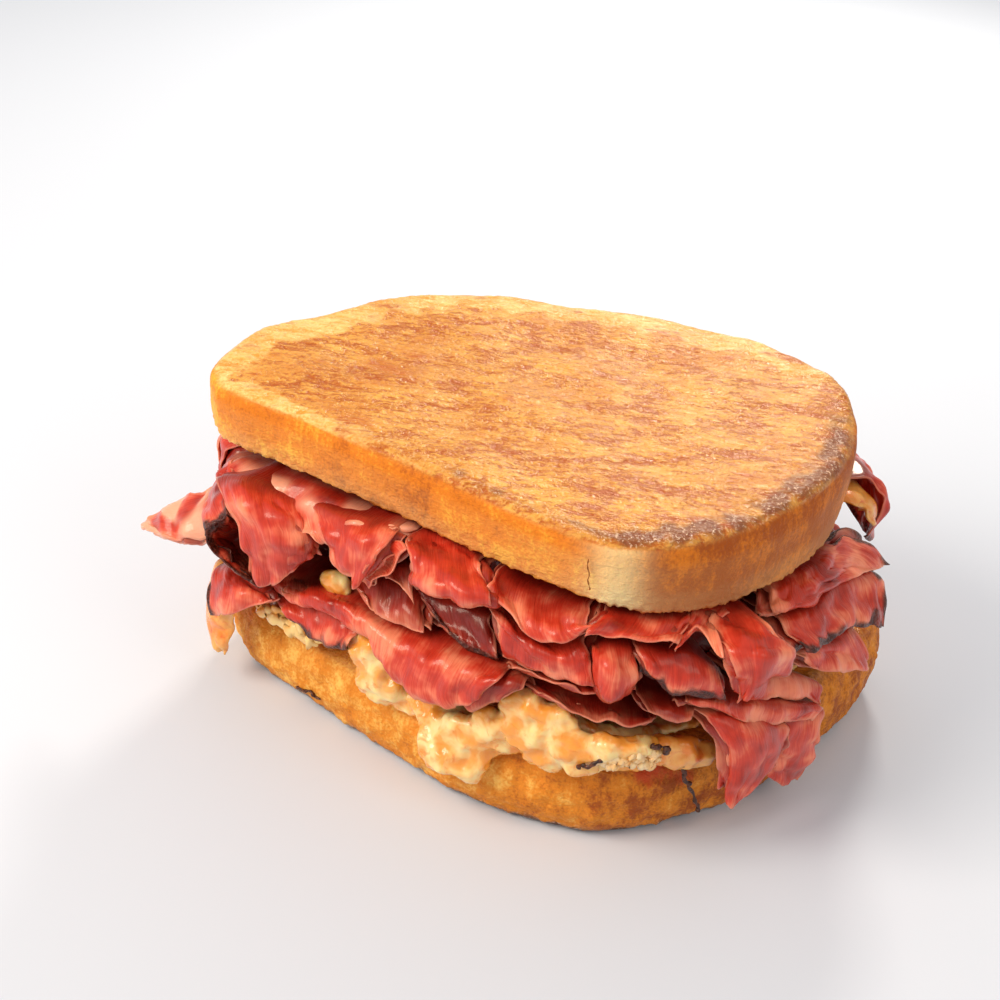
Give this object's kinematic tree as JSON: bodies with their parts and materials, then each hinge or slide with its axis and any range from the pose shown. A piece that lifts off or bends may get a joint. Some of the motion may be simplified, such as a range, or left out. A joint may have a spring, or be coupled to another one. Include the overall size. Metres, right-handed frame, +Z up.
{
  "type": "reuben sandwich",
  "caption": "Grilled sandwich: toasted tin-loaf bread above and below a ruffled pile of thin corned beef, with melted cheese and kraut sagging over the front edge.",
  "frame": {"origin": "centre of the object's extent in X and Y, on the flat underside of the bottom slice", "axes": "+Z up; +X along the bread's straight front edge, to the right seen from the front; -Y is the front, where the cheese sags over the edge"},
  "size_m": [0.179, 0.1302, 0.084],
  "materials": {
    "toast_top": "toasted bread, matt, golden brown",
    "toast_base": "toasted bread crust, matt, tan",
    "meat_shadow": "cooked meat in shadow, dark red",
    "corned_beef": "moist cooked meat, pink red",
    "melted_cheese": "melted cheese, soft gloss, cream yellow",
    "sauce": "thin dressing, glossy, orange"
  },
  "bodies": {
    "root": {"bottom_slice": "toast_base", "cheese_and_kraut": "melted_cheese", "cheese_far_right": "sauce", "cheese_in_fold": "melted_cheese", "meat_back_0_0": "corned_beef", "meat_back_0_1": "corned_beef", "meat_back_0_2": "corned_beef", "meat_back_0_3": "corned_beef", "meat_back_1_0": "corned_beef", "meat_back_1_1": "corned_beef", "meat_back_1_2": "corned_beef", "meat_back_1_3": "corned_beef", "meat_core": "meat_shadow", "meat_deep_front": "corned_beef", "meat_deep_left": "corned_beef", "meat_edge_right": "corned_beef", "meat_flap_front": "corned_beef", "meat_flap_left": "corned_beef", "meat_flap_middle": "corned_beef", "meat_fold_left": "corned_beef", "meat_hang_far": "corned_beef", "meat_hang_right": "corned_beef", "meat_long_front": "corned_beef", "meat_loop_right": "corned_beef", "meat_low_left": "corned_beef", "meat_peppered": "corned_beef", "meat_pocket_left": "corned_beef", "meat_rim_left": "corned_beef", "meat_roll_front": "corned_beef", "meat_strip_right": "corned_beef", "meat_tip_left": "corned_beef", "meat_tongue_low": "corned_beef", "meat_tongue_lower": "corned_beef", "meat_tongue_upper": "corned_beef", "meat_under_left": "corned_beef", "sauce_drip_left": "sauce", "top_slice": "toast_top"}
  },
  "joints": []
}
